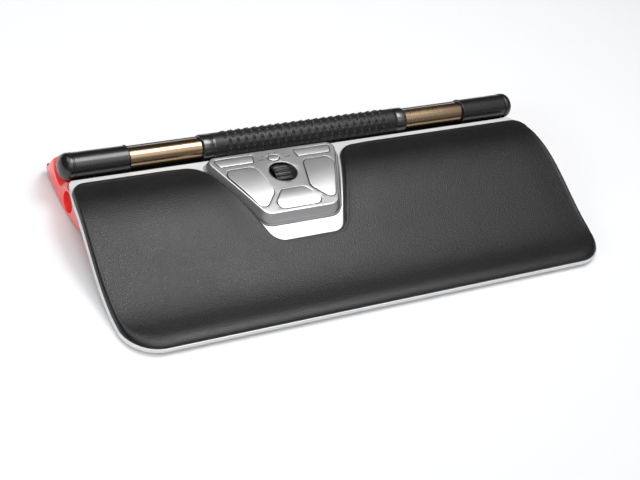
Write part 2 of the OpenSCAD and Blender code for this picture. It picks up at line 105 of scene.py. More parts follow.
def flipped(points):
    return [(-x, y) for x, y in reversed(points)]


def grown(points, g):
    """The outline moved outwards by g along its own normals. It runs anticlockwise."""
    if abs(g) < 1e-9:
        return list(points)
    p = np.array(points, float)
    before, after = p - np.roll(p, 1, 0), np.roll(p, -1, 0) - p
    before /= np.maximum(np.linalg.norm(before, axis=1), 1e-9)[:, None]
    after /= np.maximum(np.linalg.norm(after, axis=1), 1e-9)[:, None]
    n1, n2 = np.stack([before[:, 1], -before[:, 0]], 1), np.stack([after[:, 1], -after[:, 0]], 1)
    n = n1 + n2
    n /= np.maximum((n * n).sum(1) / 2, 0.3)[:, None]
    return [tuple(q) for q in p + g * n]


def without_repeats(points, tiny=1e-4):
    kept = [points[0]]
    for q in points[1:]:
        if math.dist(q, kept[-1]) > tiny:
            kept.append(q)
    if math.dist(kept[0], kept[-1]) <= tiny:
        kept.pop()
    return kept


def side_x(d, inset):
    return PALM_W / 2 - inset - SIDE_CURVE * (d - SIDE_PEAK) ** 2 - TUCK * max(0.0, d - TUCK_D) ** 2


def arc(x, y, r, start, end, n):
    return [(x + r * math.cos(a), y + r * math.sin(a)) for a in np.linspace(start, end, n)]


def rest_half(inset, back, rb):
    """Right half of the palm rest's outline: front corner, curved side, rear corner of radius rb."""
    rf = CORNER_R - inset
    clear = 6
    front = arc(side_x(CORNER_R, inset) - rf, inset + rf, rf, -math.pi / 2, 0, 21)
    side = [(side_x(d, inset), d) for d in np.linspace(CORNER_R + clear, back - rb - clear, 22)]
    rear = arc(side_x(back - rb, inset) - rb, back - rb, rb, 0, math.pi / 2, 11)
    return front + side + rear


def window_x(d):
    return WINDOW_HALF + WINDOW_SLOPE * (d - WINDOW_HALF_AT)


def rest_outline(inset, back, rb, notch=()):
    """Outline of the palm rest, with a notch cut into its back edge if one is given."""
    right = rest_half(inset, back, rb)
    left = flipped(right)
    return without_repeats([*right, *notch, *left])


def pad_notch():
    """The cut-out round the button module, from the right end of the back edge to the left end."""
    far, x0, x1 = 120, window_x(WINDOW_FRONT), window_x(PAD_BACK)
    right = [(far, PAD_BACK), (x1, PAD_BACK), (x0, WINDOW_FRONT)]
    left = [(-x0, WINDOW_FRONT), (-x1, PAD_BACK), (-far, PAD_BACK)]
    path = rounded(right + left, [0, 20, 15, 15, 26, 0], n=18)
    return [(MODULE_X + WINDOW_SHIFT + x, d) for x, d in path[1:-1]]


def shell_x(y):
    return SHELL_HALF + SHELL_SLOPE * (y - SHELL_HALF_AT)


def shell_outline(g):
    """The button module's outline, grown by g, in the module's own frame."""
    front, back = SHELL_FRONT - g, SHELL_BACK + g * BACK_BEVEL
    front_x, back_x = shell_x(front) + g * SIDE_BEVEL, shell_x(back) + g * SIDE_BEVEL
    points = [(-front_x, front), (front_x, front), (back_x, back), (-back_x, back)]
    return rounded(points, [10 + g, 10 + g, 6 + g, 6 + g], n=14)


MAIN_KEY = rounded([(24.2, 2.2), (17.4, -27.6), (34.6, -46.6), (55.6, 2.2)], [6.5, 8, 6, 6.5])
CENTRE_KEY = rounded([(-11, -27.4), (-28, -47.2), (28, -47.2), (11, -27.4)], [4.5, 6, 6, 4.5])
EDGE_KEY = rounded([(20.2, 15.3), (22.6, 7.2), (54.2, 7.2), (57.2, 15.3)], [1.2, 1.2, 1.2, 1.2], n=6)
SPEED_KEY = ellipse(5.4, 3.1, 48, (-1.4, 9.2))
DOTS = [(-11.2, 12.5), (-3.8, 14.7), (1.8, 14.7), (9.2, 12.5)]
DASHES = [(-14.2, 8.7), (11.8, 8.7)]

# ---- mesh making ----


def in_module(x, y, z):
    """From the button module's tilted frame to the row frame, in millimetres."""
    a = math.radians(MODULE_TILT)
    return (
        MODULE_X + x,
        FRONT_Y + MODULE_D + y * math.cos(a) - z * math.sin(a),
        MODULE_Z + y * math.sin(a) + z * math.cos(a),
    )


def finish_mesh(name, mesh_bm, material, body, sharp=38, replaces=(), walls=None):
    bmesh.ops.remove_doubles(mesh_bm, verts=mesh_bm.verts, dist=1e-7)
    bmesh.ops.recalc_face_normals(mesh_bm, faces=mesh_bm.faces)
    mesh = bpy.data.meshes.new(name)
    mesh_bm.to_mesh(mesh)
    mesh_bm.free()
    mesh.materials.append(material)
    if walls:
        mesh.materials.append(walls)
    mesh.shade_smooth()
    mesh.set_sharp_from_angle(angle=math.radians(sharp))
    obj = bpy.data.objects.new(name, mesh)
    bpy.context.scene.collection.objects.link(obj)
    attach(obj, body)
    if replaces:
        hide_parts(*replaces)
    return obj


def cut_grid(bm, xs, ys):
    for axis, places in ((0, xs), (1, ys)):
        for p in places:
            co, no = [0, 0, 0], [0, 0, 0]
            co[axis], no[axis] = p, 1
            geom = bm.verts[:] + bm.edges[:] + bm.faces[:]
            bmesh.ops.bisect_plane(bm, geom=geom, plane_co=co, plane_no=no, dist=1e-4)


def shell_solid(rings, hole_rings, xs, ys, warp, dark=99, hole_dark=99):
    """Closed solid between a top and a bottom face that share their holes.

    rings: loops of (x, y, z) round the outside, from the top face's edge to the bottom face's edge.
    hole_rings: the same for each hole.
    Walls below ring number dark, or hole_dark in a hole, get the second material.
    xs and ys cut the faces into a grid, and warp moves each point.
    """
    bm = bmesh.new()
    top, bottom = [], []
    for number, chain in enumerate([rings, *hole_rings]):
        loops = [[bm.verts.new(p) for p in ring] for ring in chain]
        count = len(loops[0])
        start = hole_dark if number else dark
        for level, (upper, lower) in enumerate(zip(loops, loops[1:])):
            for i in range(count):
                k = (i + 1) % count
                bm.faces.new((upper[i], lower[i], lower[k], upper[k])).material_index = int(level >= start)
        for where, loop in ((top, loops[0]), (bottom, loops[-1])):
            for i in range(count):
                pair = (loop[i], loop[(i + 1) % count])
                where.append(bm.edges.get(pair) or bm.edges.new(pair))
    bmesh.ops.triangle_fill(bm, edges=top, use_beauty=True, use_dissolve=False)
    bmesh.ops.triangle_fill(bm, edges=bottom, use_beauty=True, use_dissolve=False)
    cut_grid(bm, xs, ys)
    co = np.array([v.co for v in bm.verts], float)
    for v, p in zip(bm.verts, warp(co)):
        v.co = Vector(p) * MM
    return bm


def rings_from(outline, profile):
    return [[(x, y, dz) for x, y in grown(outline, g)] for g, dz in profile]


def round_line(x, r, a, centre):
    """The point at radius r and angle a about a line along X through centre (x, y, z)."""
    return Vector((centre[0] + x, centre[1] + r * math.cos(a), centre[2] + r * math.sin(a))) * MM


def turned_grid(x, a, r, centre, bore):
    """Closed solid round a line along X: a skin of radius r over the grid x, a, and a plain bore."""
    angles, half = a[0], x[-1, 0]
    rows = [*zip(x, r), *((np.full(len(angles), end), np.full(len(angles), bore)) for end in (half, -half))]
    bm = bmesh.new()
    loops = [[bm.verts.new(round_line(u, v, t, centre)) for u, v, t in zip(*row, angles)] for row in rows]
    for i in range(len(loops)):
        p, q = loops[i], loops[(i + 1) % len(loops)]
        for k in range(len(angles)):
            m = (k + 1) % len(angles)
            bm.faces.new((p[k], q[k], q[m], p[m]))
    return bm


LATHE_SIDES = 144


def lathe(name, profile, centre, material, body, replaces=()):
    """Solid turned about a line along X. profile is a closed loop of (x, radius)."""
    bm = bmesh.new()
    angles = np.linspace(0, 2 * math.pi, LATHE_SIDES, endpoint=False)
    loops = []
    for x, r in profile:
        on_axis = r < 1e-6
        ring = angles[:1] if on_axis else angles
        loops.append([bm.verts.new(round_line(x, 0 if on_axis else r, a, centre)) for a in ring])
    for i in range(len(loops)):
        a, b = loops[i], loops[(i + 1) % len(loops)]
        for k in range(LATHE_SIDES):
            m = (k + 1) % LATHE_SIDES
            corner = [a[k % len(a)], b[k % len(b)], b[m % len(b)], a[m % len(a)]]
            unique = list(dict.fromkeys(corner))
            if len(unique) >= 3:
                bm.faces.new(unique)
    return finish_mesh(name, bm, material, body, sharp=32, replaces=replaces)


# ---- materials ----


class Nodes:
    """A small helper that adds shader nodes to one material."""

    def __init__(self, name, color, roughness, metallic=0.0, **constants):
        self.material = bpy.data.materials.new(name)
        self.material.use_nodes = True
        self.tree = self.material.node_tree
        self.shader = self.tree.nodes["Principled BSDF"]
        self.shader.inputs["Base Color"].default_value = (*color, 1)
        self.shader.inputs["Roughness"].default_value = roughness
        self.shader.inputs["Metallic"].default_value = metallic
        for key, value in constants.items():
            self.shader.inputs[key.replace("_", " ")].default_value = value
        self.place = self.add("ShaderNodeTexCoord").outputs["Object"]

    def add(self, kind, inputs=(), **settings):
        node = self.tree.nodes.new(kind)
        for key, value in settings.items():
            setattr(node, key, value)
        for key, value in dict(inputs).items():
            if isinstance(value, bpy.types.NodeSocket):
                self.tree.links.new(value, node.inputs[key])
            else:
                node.inputs[key].default_value = value
        return node

    def stretch(self, scale):
        return self.add("ShaderNodeMapping", {"Vector": self.place, "Scale": scale}).outputs["Vector"]

    def noise(self, scale, detail=3.0, rough=0.55, vector=None):
        inputs = {"Vector": vector or self.place, "Scale": scale, "Detail": detail, "Roughness": rough}
        return self.add("ShaderNodeTexNoise", inputs).outputs["Fac"]

    def ranged(self, value, low, high, from_low=0.3, from_high=0.7):
        inputs = {"Value": value, "From Min": from_low, "From Max": from_high, "To Min": low, "To Max": high}
        return self.add("ShaderNodeMapRange", inputs).outputs["Result"]

    def maths(self, operation, a, b):
        return self.add("ShaderNodeMath", {0: a, 1: b}, operation=operation).outputs["Value"]

    def colours(self, value, low, high):
        inputs = {"Factor": value, 6: (*low, 1), 7: (*high, 1)}
        return self.add("ShaderNodeMix", inputs, data_type="RGBA").outputs[2]

    def bump(self, heights):
        """Adds bump layers, each (height socket, distance in metres, strength)."""
        normal = None
        for height, distance, strength in heights:
            inputs = {"Height": height, "Distance": distance, "Strength": strength}
            if normal is not None:
                inputs["Normal"] = normal
            normal = self.add("ShaderNodeBump", inputs).outputs["Normal"]
        self.tree.links.new(normal, self.shader.inputs["Normal"])

    def drive(self, socket, value):
        self.tree.links.new(value, self.shader.inputs[socket])


def moulded(name, color, roughness, grain=2600.0, depth=0.00002, spread=0.06, metallic=0.0, tint=0.12,
            **constants):
    """Moulded or painted plastic: fine grain, slightly uneven gloss and colour."""
    m = Nodes(name, color, roughness, metallic, **constants)
    slow = m.noise(38.0, 2.0)
    m.drive("Roughness", m.ranged(slow, roughness - spread / 2, roughness + spread / 2))
    m.drive("Base Color", m.colours(m.ranged(slow, 0, 1), [c * (1 - tint) for c in color], color))
    m.bump([(m.noise(grain, 2.0), depth, 0.35)])
    return m.material


def leather(name):
    """Leatherette: pebbles with creases between them, fine pores and an uneven sheen. The creases also get
    painted shade in the base colour.
    """
    m = Nodes(name, (0.006, 0.006, 0.0066), 0.32, Specular_IOR_Level=0.5)
    warp = m.add("ShaderNodeTexNoise", {"Vector": m.place, "Scale": 420.0, "Detail": 1.0}).outputs["Color"]
    bent = m.add("ShaderNodeMix", {"Factor": 0.0009, 4: m.place, 5: warp}, data_type="VECTOR").outputs[1]
    cells = m.add("ShaderNodeTexVoronoi", {"Vector": bent, "Scale": 560.0, "Randomness": 0.9},
                  feature="DISTANCE_TO_EDGE")
    pebble_and_crease_shade = m.ranged(cells.outputs["Distance"], 0, 1, 0.0, 0.3)
    hides = m.noise(900.0, 3.0, 0.65)
    slow = m.noise(26.0, 3.0)
    m.drive("Roughness", m.maths("ADD", m.ranged(slow, 0.30, 0.35), m.ranged(pebble_and_crease_shade, 0.12, 0.0, 0, 1)))
    # painted shade: the base colour is darker in the creases between the pebbles
    m.drive("Base Color", m.colours(pebble_and_crease_shade, (0.0015, 0.0015, 0.0018), (0.0054, 0.0054, 0.006)))
    m.bump([(hides, 0.00025, 0.2), (pebble_and_crease_shade, 0.00014, 0.68)])
    return m.material


def turned_metal(name):
    """Polished metal tube with fine turning lines round it."""
    m = Nodes(name, (0.46, 0.33, 0.225), 0.2, 1.0)
    lines = m.noise(1.0, 2.0, vector=m.stretch((5200.0, 60.0, 60.0)))
    slow = m.noise(14.0, 2.0, vector=m.stretch((1.0, 3.0, 3.0)))
    m.drive("Roughness", m.maths("ADD", m.ranged(lines, 0.0, 0.07), m.ranged(slow, 0.16, 0.24)))
    m.drive("Base Color", m.colours(m.ranged(slow, 0, 1), (0.34, 0.235, 0.145), (0.43, 0.305, 0.2)))
    m.bump([(lines, 0.000012, 0.5)])
    return m.material


def silver_paint(name, color, roughness, metallic):
    """Silver paint: metal flakes under a thin clear layer."""
    m = Nodes(name, color, roughness, metallic, Coat_Weight=0.25, Coat_Roughness=0.26)
    flakes = m.add("ShaderNodeTexVoronoi", {"Vector": m.place, "Scale": 7000.0}).outputs["Color"]
    grey = m.add("ShaderNodeRGBToBW", {"Color": flakes}).outputs["Val"]
    slow = m.noise(30.0, 2.0)
    m.drive("Base Color", m.colours(grey, [c * 0.93 for c in color], [min(1, c * 1.03) for c in color]))
    m.drive("Roughness", m.ranged(slow, roughness - 0.025, roughness + 0.025))
    m.bump([(m.noise(1800.0, 2.0), 0.00001, 0.25)])
    return m.material


def circuit_board(name):
    m = Nodes(name, (0.02, 0.16, 0.06), 0.4, Coat_Weight=0.4)
    traces = m.add("ShaderNodeTexBrick", {"Vector": m.place, "Scale": 260.0, "Mortar Size": 0.03})
    m.drive("Base Color", m.colours(traces.outputs["Fac"], (0.02, 0.15, 0.06), (0.045, 0.24, 0.09)))
    m.bump([(traces.outputs["Fac"], 0.00004, 0.5)])
    return m.material


M_PLATE = silver_paint("plate_silver", (0.72, 0.725, 0.73), 0.36, 0.2)
M_SHELL = silver_paint("shell_silver", (0.67, 0.67, 0.675), 0.30, 0.92)
M_KEY = silver_paint("key_silver", (0.70, 0.70, 0.705), 0.33, 0.92)
M_PAD = leather("pad_leather")
M_BRONZE = turned_metal("core_bronze")
M_BLACK = moulded("black_satin", (0.006, 0.006, 0.0066), 0.27, Specular_IOR_Level=0.6, Coat_Weight=0.3,
                  Coat_Roughness=0.22)
M_TROUGH = moulded("black_matt", (0.012, 0.012, 0.012), 0.55, grain=1500.0, depth=0.00004)
M_GLOSS = moulded("black_gloss", (0.012, 0.012, 0.014), 0.10, depth=0.000004, spread=0.03, Coat_Weight=0.5)
M_COLLAR = moulded("dark_chrome", (0.10, 0.101, 0.105), 0.22, depth=0.000004, spread=0.03, metallic=0.9)
M_WHEEL = moulded("wheel_rubber", (0.012, 0.012, 0.013), 0.30, grain=1700.0, depth=0.00001)
M_GRIP = moulded("grip_rubber", (0.007, 0.007, 0.0074), 0.46, grain=1700.0, depth=0.00005)
M_FEET = moulded("rubber_feet", (0.018, 0.018, 0.018), 0.7, grain=1200.0, depth=0.00006)
M_RED = moulded("red_plastic", (0.9, 0.03, 0.03), 0.34, depth=0.000012, Specular_IOR_Level=0.9,
                Coat_Weight=1.0, Coat_Roughness=0.12)
M_STEEL = moulded("plated_steel", (0.60, 0.60, 0.61), 0.28, metallic=1.0, depth=0.00001)
M_BOARD = circuit_board("circuit_board")
M_MARK = moulded("smoked_lens", (0.035, 0.036, 0.038), 0.25, depth=0.000004)
M_SEAM = moulded("seam_shadow", (0.03, 0.03, 0.032), 0.5)
M_LINER = moulded("liner_plastic", (0.72, 0.71, 0.66), 0.4)

NODE_MATERIALS = {
    M_RED: ["base_tray", "left_cheek", "right_cheek"],
    M_TROUGH: ["bar_trough", "bar_bushes", "wheel_well", "wheel_carriage", "wheel_hub", "grip_tube"],
    M_BLACK: ["rear_cover", "bar_switches", "tact_switches", "wheel_switch"],
    M_GLOSS: ["bar_sensor"],
    M_FEET: ["base_feet", "palm_feet", "rear_bumpers"],
    M_STEEL: ["usb_socket", "press_springs", "base_screws", "palm_screws", "module_screws", "guide_pins",
              "wheel_axle"],
    M_BOARD: ["main_board", "module_board"],
    M_MARK: ["light_pipes"],
    M_LINER: ["grip_liners"],
}
EDGE_ROUNDING = {"left_cheek": 0.5, "right_cheek": 0.5, "rear_cover": 0.35, "base_tray": 0.3,
                 "bar_trough": 0.25, "base_feet": 0.3, "palm_feet": 0.3, "rear_bumpers": 0.6,
                 "usb_socket": 0.15}


def dress_node(node, material):
    """Gives a CAD node its material, smooth shading and, where it shows, rounded edges."""
    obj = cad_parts[node]
    obj.data.materials.clear()
    obj.data.materials.append(material)
    weld = obj.modifiers.new("weld", "WELD")
    weld.merge_threshold = 1e-6
    if node in EDGE_ROUNDING:
        bevel = obj.modifiers.new("edges", "BEVEL")
        bevel.width = EDGE_ROUNDING[node] * MM
        bevel.segments = 3
        bevel.limit_method = "ANGLE"
        bevel.angle_limit = math.radians(38)
        bevel.miter_outer = "MITER_ARC"
    if obj.data.has_custom_normals:
        obj.data.normals_split_custom_set_from_vertices([(0, 0, 0)] * len(obj.data.vertices))
    obj.data.shade_smooth()
    obj.data.set_sharp_from_angle(angle=math.radians(30))


for material, names in NODE_MATERIALS.items():
    for node in names:
        dress_node(node, material)

# ---- palm plate ----


def follow_plate(co):
    out = co.copy()
    out[:, 2] = plate_top(co[:, 1]) + co[:, 2]
    out[:, 1] += FRONT_Y
    return out


WINDOW_LEVEL, WINDOW_GAP = -8, 0.35


def plate_window():
    """The opening that the button module stands in."""
    ring = [in_module(x, y, WINDOW_LEVEL)[:2] for x, y in shell_outline(BEVEL_W + WINDOW_GAP)]
    return [(x, y - FRONT_Y) for x, y in ring]


PLATE_PROFILE = [(-1.6, 0), (-0.9, 0), (-0.5, -0.05), (-0.2, -0.18), (-0.04, -0.42), (0, -0.75), (0, -3.2),
                 (-0.15, -3.75), (-0.55, -4.1), (-1.1, -4.2)]
WINDOW_PROFILE = [(0.35, 0), (0.15, -0.05), (0, -0.25), (0, -4.2)]
grid_x, grid_y = np.arange(-230, 231, 20.0), np.arange(3, 174, 3.0)
window_rings = [[(x, y, z) for x, y in grown(plate_window(), g)] for g, z in WINDOW_PROFILE]
plate_rings = rings_from(rest_outline(0, PLATE_D, BACK_R), PLATE_PROFILE)
plate = shell_solid(plate_rings, [window_rings], grid_x, grid_y, follow_plate)
finish_mesh("plate", plate, M_PLATE, "root", replaces=["palm_plate"])

# ---- padding ----

PAD_OUTLINE = rest_outline(PAD_INSET, PAD_BACK, PAD_BACK_R, pad_notch())
PAD_RINGS = [6.0, 4.4, 3.2, 2.4, 1.8, 1.3, 0.9, 0.58, 0.34, 0.16, 0.05, 0.0]
PAD_FLOOR = 0.08


def distance_to(outline, points, closed=True):
    """Distance from each point to a closed or open line of points."""
    a = np.array(outline, float)
    pairs = zip(a, np.roll(a, -1, 0)) if closed else zip(a[:-1], a[1:])
    best = np.full(len(points), 1e9)
    for p, q in pairs:
        e = q - p
        t = np.clip(((points - p) @ e) / max(e @ e, 1e-12), 0, 1)
        best = np.minimum(best, np.linalg.norm(points - p - t[:, None] * e, axis=1))
    return best


def pad_warp(co):
    xy, d = co[:, :2], co[:, 1]
    inner = distance_to(PAD_OUTLINE, xy)
    to_window = distance_to(pad_notch(), xy, closed=False)
    roll = 1.9 + 12.0 * (1 - smooth(d / 40.0)) + 1.6 * (1 - smooth((to_window - 2.0) / 10.0))
    power = 2.2
    u = 1 - np.clip(inner / roll, 0, 1)
    height = (1 - u**power) ** (1 / power)
    ridge = 0.32 * np.exp(-(((inner - 2.6) / 1.5) ** 2)) * smooth(d / 60.0)
    crown = 0.45 * smooth((inner - 4.0) / 34.0)
    wave = 0.07 * np.sin(co[:, 0] / 31.0 + 1.3 * np.sin(d / 37.0)) * smooth(inner / 12.0)
    top = PAD_FLOOR + (PAD_T - 0.45 - PAD_FLOOR) * height + crown + wave + ridge
    out = co.copy()
    out[:, 2] = plate_top(d) + np.where(co[:, 2] < 0, PAD_FLOOR, top)
    out[:, 1] += FRONT_Y
    return out


pad_rings = rings_from(PAD_OUTLINE, [(-g, 1) for g in PAD_RINGS] + [(-0.4, -1)])
pad_bm = shell_solid(pad_rings, [], np.arange(-234, 235, 6.0), np.arange(2, 168, 2.6), pad_warp)
pad = finish_mesh("palm_pad", pad_bm, M_PAD, "root", sharp=70,
                  replaces=["palm_cover", "palm_foam"])

# ---- roller bar ----

BAR_Y = FRONT_Y + BAR_D
core_end, core_in = DOME_X + 1, CORE_R - 1.4
core_profile = [(-core_end, core_in), (-core_end, CORE_R), (core_end, CORE_R), (core_end, core_in)]
lathe("core", core_profile, (0, BAR_Y, BAR_Z), M_BRONZE, "bar", replaces=["core_tube"])


def edge_arc(x, r, dx, dr, size, n=4):
    """Points that round a turned edge: the corner is at (x, r), the solid towards dx and dr."""
    steps = np.linspace(0, math.pi / 2, n + 1)
    return [(x + dx * size * (1 - math.sin(a)), r + dr * size * (1 - math.cos(a))) for a in steps]


def housing_profile():
    """An end housing. Known fault: both edges run backwards, which leaves a lip and a crossing at each end."""
    inner = edge_arc(0, BAR_R, 1, -1, 0.5)
    outer = edge_arc(HOUSING_LEN, BAR_R, -1, -1, 0.3)[::-1]
    return [(0, CORE_R + BORE_GAP), *inner, *outer, (HOUSING_LEN, CORE_R + BORE_GAP)]


def dome_profile():
    angles = np.linspace(0, math.pi / 2, 25)
    cap = [(DOME_LEN * math.sin(a) ** 1.15, BAR_R * math.cos(a) ** 0.92) for a in angles]
    bore = CORE_R + BORE_GAP
    return [(-2.8, BAR_R - 0.4), (-2.5, BAR_R - 0.08), (-2.2, BAR_R), *cap, (1.1, 0), (1.1, bore),
            (-DOME_PLUG, bore), (-DOME_PLUG, BAR_R - 0.5), (-2.8, BAR_R - 0.5)]


def mirrored_if(side, profile):
    return profile if side > 0 else [(-x, r) for x, r in reversed(profile)]


# The collar starts at the grip's outer end, has a groove near its inner end, and steps over the grip tube
COLLAR_PROFILE = [(0.0, CORE_R + 0.4), (0.0, BAR_R - 1.3), (0.2, BAR_R - 0.75), (0.6, BAR_R - 0.3),
                  (1.1, BAR_R - 0.05), (1.6, BAR_R), (9.9, BAR_R), (10.1, BAR_R - 0.06),
                  (10.25, BAR_R - 0.35), (10.9, BAR_R - 0.35), (11.05, BAR_R - 0.06), (11.25, BAR_R),
                  (COLLAR_W, BAR_R), (COLLAR_W, CORE_R + TUBE_STEP), (1.2, CORE_R + TUBE_STEP),
                  (1.2, CORE_R + 0.4)]

for side, word in ((1, "right"), (-1, "left")):
    lathe(f"{word}_end_housing", mirrored_if(side, housing_profile()), (side * HOUSING_X, BAR_Y, BAR_Z),
          M_BLACK, "bar", replaces=[f"{word}_housing"])
    lathe(f"{word}_end_dome", mirrored_if(side, dome_profile()), (side * DOME_X, BAR_Y, BAR_Z), M_BLACK,
          "bar", replaces=[f"{word}_dome"])
    end = SLEEVE_X + side * SLEEVE_LEN / 2
    lathe(f"{word}_grip_collar", mirrored_if(-side, COLLAR_PROFILE), (end, BAR_Y, BAR_Z), M_COLLAR,
          "grip", replaces=[f"{word}_collar"])

GRIP_HALF = SLEEVE_LEN / 2 - COLLAR_W
BUMP_PITCH, BUMP_ROWS, BUMP_HEIGHT = 7.9, 18, 0.85
BUMP_HALF_X, BUMP_HALF_A, BUMP_END = 1.15, math.radians(7.5), 9.0


def grip_sleeve():
    """Rubber sleeve with staggered rows of small raised studs."""
    xs = np.linspace(-GRIP_HALF, GRIP_HALF, 401)
    angles = np.linspace(0, 2 * math.pi, 216, endpoint=False)
    x, a = np.meshgrid(xs, angles, indexing="ij")
    row_step = 2 * math.pi / BUMP_ROWS
    row = np.round(a / row_step)
    da = (a - row * row_step) / BUMP_HALF_A
    shift = (row % 2) * BUMP_PITCH / 2
    dx = ((x - shift + BUMP_PITCH / 2) % BUMP_PITCH - BUMP_PITCH / 2) / BUMP_HALF_X
    stud = np.clip(1 - np.abs(dx) ** 2.4 - np.abs(da) ** 2.4, 0, 1) ** 0.55
    near_end = smooth((GRIP_HALF - BUMP_END - np.abs(x - (dx * BUMP_HALF_X))) / 0.5)
    r = BAR_R - 0.12 + BUMP_HEIGHT * stud * near_end
    r = np.where(np.abs(x) > GRIP_HALF - 0.35, BAR_R - 0.3, r)
    return turned_grid(x, a, r, (SLEEVE_X, BAR_Y, BAR_Z), CORE_R + TUBE_STEP)


finish_mesh("grip_sleeve", grip_sleeve(), M_GRIP, "grip", sharp=80, replaces=["grip_rubber"])

# ---- button module ----


SKIRT_FROM = -6.4


def crown(x, y):
    """The module's top face falls away gently towards the user and the sides."""
    front = np.minimum(y - 10.0, 0.0) / 60.0
    return -1.9 * front**2 - 0.25 * (x / 60.0) ** 2


def module_warp(extra=None):
    """Moves flat points onto the crowned, tilted module. Its skirt stops just inside the palm plate."""

    def warp(co):
        x, y = co[:, 0], co[:, 1]
        z = co[:, 2] + crown(x, y) + (extra(x, y, co[:, 2]) if extra else 0)
        out = np.stack(in_module(x, y, z), 1)
        floor = plate_top(out[:, 1] - FRONT_Y) - PLATE_T + 0.1
        out[:, 2] = np.where(co[:, 2] < SKIRT_FROM, np.maximum(out[:, 2], floor), out[:, 2])
        return out

    return warp


SHELL_PROFILE = [(-0.75, 0), (-0.4, -0.02), (-0.1, -0.1), (0.15, -0.26), (0.4, -0.52), (1.8, -2.7),
                 (3.2, -4.95), (4.4, -7.0), (4.85, -8.2), (5.0, -9.6), (5.0, -14.3), (3.4, -14.3),
                 (3.2, -6.8), (1.0, -2.9), (-0.4, -2.1)]
shell_rings = [[(x, y, dz) for x, y in shell_outline(g)] for g, dz in SHELL_PROFILE]
KEY_HOLE = [(0.16, 0), (0.07, -0.02), (0.02, -0.07), (0, -0.14), (0, -2.1)]
HOLE_DARK, KEY_DARK = 2, 3
MARK_HOLE = [(0, 0), (0, -0.04), (0, -0.08), (0, -0.12), (0, -2.1)]


def hole(outline, profile, gap):
    return [[(x, y, dz) for x, y in grown(outline, gap + g)] for g, dz in profile]


KEYS = {
    "left_button": (flipped(MAIN_KEY), "left_key"),
    "right_button": (MAIN_KEY, "right_key"),
    "centre_button": (CENTRE_KEY, "centre_key"),
    "copy_button": (flipped(EDGE_KEY), "copy_key"),
    "paste_button": (EDGE_KEY, "paste_key"),
    "speed_button": (SPEED_KEY, "speed_key"),
}
shell_holes = [hole(outline, KEY_HOLE, KEY_GAP) for outline, _ in KEYS.values()]
shell_holes.append(hole(ellipse(WELL_A, WELL_B, 96, (0, WHEEL_Y)), KEY_HOLE, 0))
shell_holes += [hole(ellipse(0.6, 0.6, 16, at), MARK_HOLE, 0) for at in DOTS]
DASH_X, DASH_Y = 2.8, 0.3
for x, y in DASHES:
    corners = [(x + i * DASH_X, y + k * DASH_Y) for i, k in ((-1, -1), (1, -1), (1, 1), (-1, 1))]
    dash = rounded(corners, [0.12] * 4, n=2)
    shell_holes.append(hole(dash, MARK_HOLE, 0))
shell = shell_solid(shell_rings, shell_holes, np.arange(-72, 73, 6.0), np.arange(-54, 22, 2.5), module_warp(),
                    hole_dark=HOLE_DARK)
finish_mesh("module_shell", shell, M_SHELL, "root", sharp=42, replaces=["module_housing"],
            walls=M_SEAM)


def anticlockwise(points):
    p = np.array(points)
    area = (p[:, 0] * np.roll(p[:, 1], -1) - np.roll(p[:, 0], -1) * p[:, 1]).sum()
    return list(points) if area > 0 else list(reversed(points))


KEY_PROFILE = [(-0.3, 0), (-0.16, -0.02), (-0.06, -0.07), (-0.01, -0.14), (0, -0.22), (0, -2.3), (-0.4, -2.3)]
KEY_LIFT = 0.12

KEY_DOMES = {"copy_button": 0.35, "paste_button": 0.35, "speed_button": 0.3, "centre_button": 1.1}
MAIN_DOME = 1.7


def key_bow(outline, dome):
    """Height added to a key's top: bowed from front to back, a little more so at its sides."""
    cx, cy = np.mean(np.array(outline), 0)
    half_x, half_y = np.ptp(np.array(outline), 0) / 2

    def height(x, y, z):
        bowed = 1 - ((y - cy) / half_y) ** 2
        raised = dome * bowed * (0.55 + 0.12 * ((x - cx) / half_x) ** 2)
        return np.where(z > -1, KEY_LIFT + raised - 0.1 * dome, 0)

    return height


for node, (outline, body) in KEYS.items():
    outline = anticlockwise(outline)
    bow = key_bow(outline, KEY_DOMES.get(node, MAIN_DOME))
    key = shell_solid(rings_from(outline, KEY_PROFILE), [], np.arange(-60, 61, 2.5), np.arange(-52, 22, 2.0),
                      module_warp(bow), dark=KEY_DARK)
    finish_mesh(node.replace("button", "key_top"), key, M_KEY, body, sharp=50, replaces=[node],
                walls=M_SEAM)

# ---- scroll wheel ----

RIBS = 22


def ribbed_wheel():
    """Barrel-shaped tyre with rounded ribs along the axle."""
    xs = np.linspace(-WHEEL_W / 2, WHEEL_W / 2, 41)
    angles = np.linspace(0, 2 * math.pi, RIBS * 12, endpoint=False)
    x, a = np.meshgrid(xs, angles, indexing="ij")
    away = np.clip(np.abs(x) / (WHEEL_W / 2), 0, 1)
    barrel = WHEEL_R - 0.35 * away**2 - 1.35 * smooth((away - 0.72) / 0.28) ** 1.5
    rib = np.clip(np.cos(a * RIBS), -0.35, 1)
    depth = 0.95 * (1 - smooth((away - 0.82) / 0.16))
    r = barrel - depth * (1 - rib) / 1.35
    return turned_grid(x, a, r, in_module(0, WHEEL_Y, WHEEL_TOP - WHEEL_R), WHEEL_BORE)


finish_mesh("wheel_ribbed_tyre", ribbed_wheel(), M_WHEEL, "wheel", sharp=60,
            replaces=["wheel_tyre"])

# ---- floor, light and camera ----

SOFTBOX_LEVEL, BAND_LEVEL, FRONT_LEVEL = 1.7, 0.07, 0.24
SOFTBOX_BACK, SOFTBOX_FRONT, SOFTBOX_LOW, SOFTBOX_LEFT, SOFTBOX_RIGHT = 0.52, -0.95, 0.42, -0.62, 0.62
FRONT_EDGE = -0.3
FLOOR_HALF = 6

bpy.context.scene.view_settings.view_transform = "Standard"
bpy.context.scene.view_settings.look = "None"

